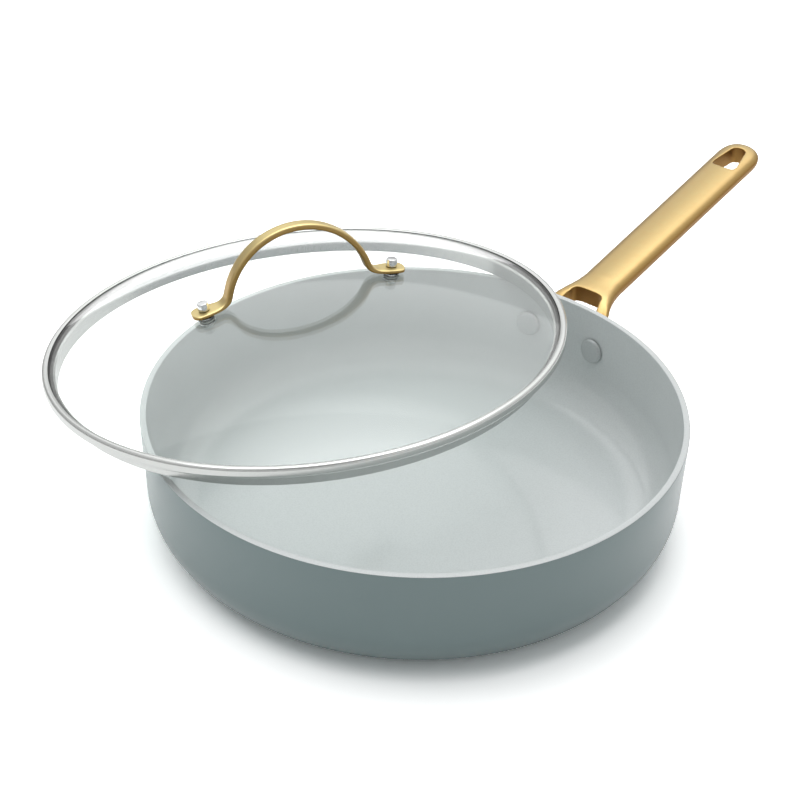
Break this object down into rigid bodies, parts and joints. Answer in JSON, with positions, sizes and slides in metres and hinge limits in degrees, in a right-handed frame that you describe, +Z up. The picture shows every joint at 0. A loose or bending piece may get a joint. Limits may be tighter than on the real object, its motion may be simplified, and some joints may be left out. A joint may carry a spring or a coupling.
{
  "type": "deep frying pan with lid",
  "caption": "Deep round frying pan with a forked cast handle riveted to its wall, and a domed glass lid with a steel band and an arched bar handle, leaning on the rim.",
  "frame": {"origin": "centre of the base plate's underside, on the surface that the pan stands on", "axes": "+Z up along the pan's axis; the grip points 52.6 degrees from +X towards +Y; the lid leans on the rim on the -X +Y side"},
  "size_m": [0.4127, 0.4141, 0.1373],
  "materials": {
    "pan_coating": "aluminium body with a satin blue-grey coat outside and a pale grey ceramic coat inside",
    "base_steel": "spun steel disc set in the base",
    "gold_cast": "cast metal, satin champagne gold plating",
    "rivet_coat": "solid rivets under the pale grey ceramic coat",
    "lid_glass": "clear tempered glass, polished",
    "band_steel": "rolled stainless sheet, bright on the flange",
    "gold_bar": "forged oval bar, satin champagne gold plating",
    "fixing_steel": "turned stainless steel",
    "silicone": "black silicone"
  },
  "bodies": {
    "pan": {"pan_body": "pan_coating", "base_plate": "base_steel", "pan_handle": "gold_cast", "handle_rivet_left": "rivet_coat", "handle_rivet_right": "rivet_coat"},
    "lid": {"lid_glass": "lid_glass", "lid_band": "band_steel", "lid_handle": "gold_bar", "lid_nut_left": "fixing_steel", "lid_seal_top_left": "silicone", "lid_seal_low_left": "silicone", "lid_washer_left": "fixing_steel", "lid_screw_left": "fixing_steel", "lid_nut_right": "fixing_steel", "lid_seal_top_right": "silicone", "lid_seal_low_right": "silicone", "lid_washer_right": "fixing_steel", "lid_screw_right": "fixing_steel"}
  },
  "joints": [
    {"name": "lid_lift", "type": "slide", "parent": "pan", "child": "lid", "axis": [0, 0, 1], "range_m": [0, 0.2]}
  ]
}
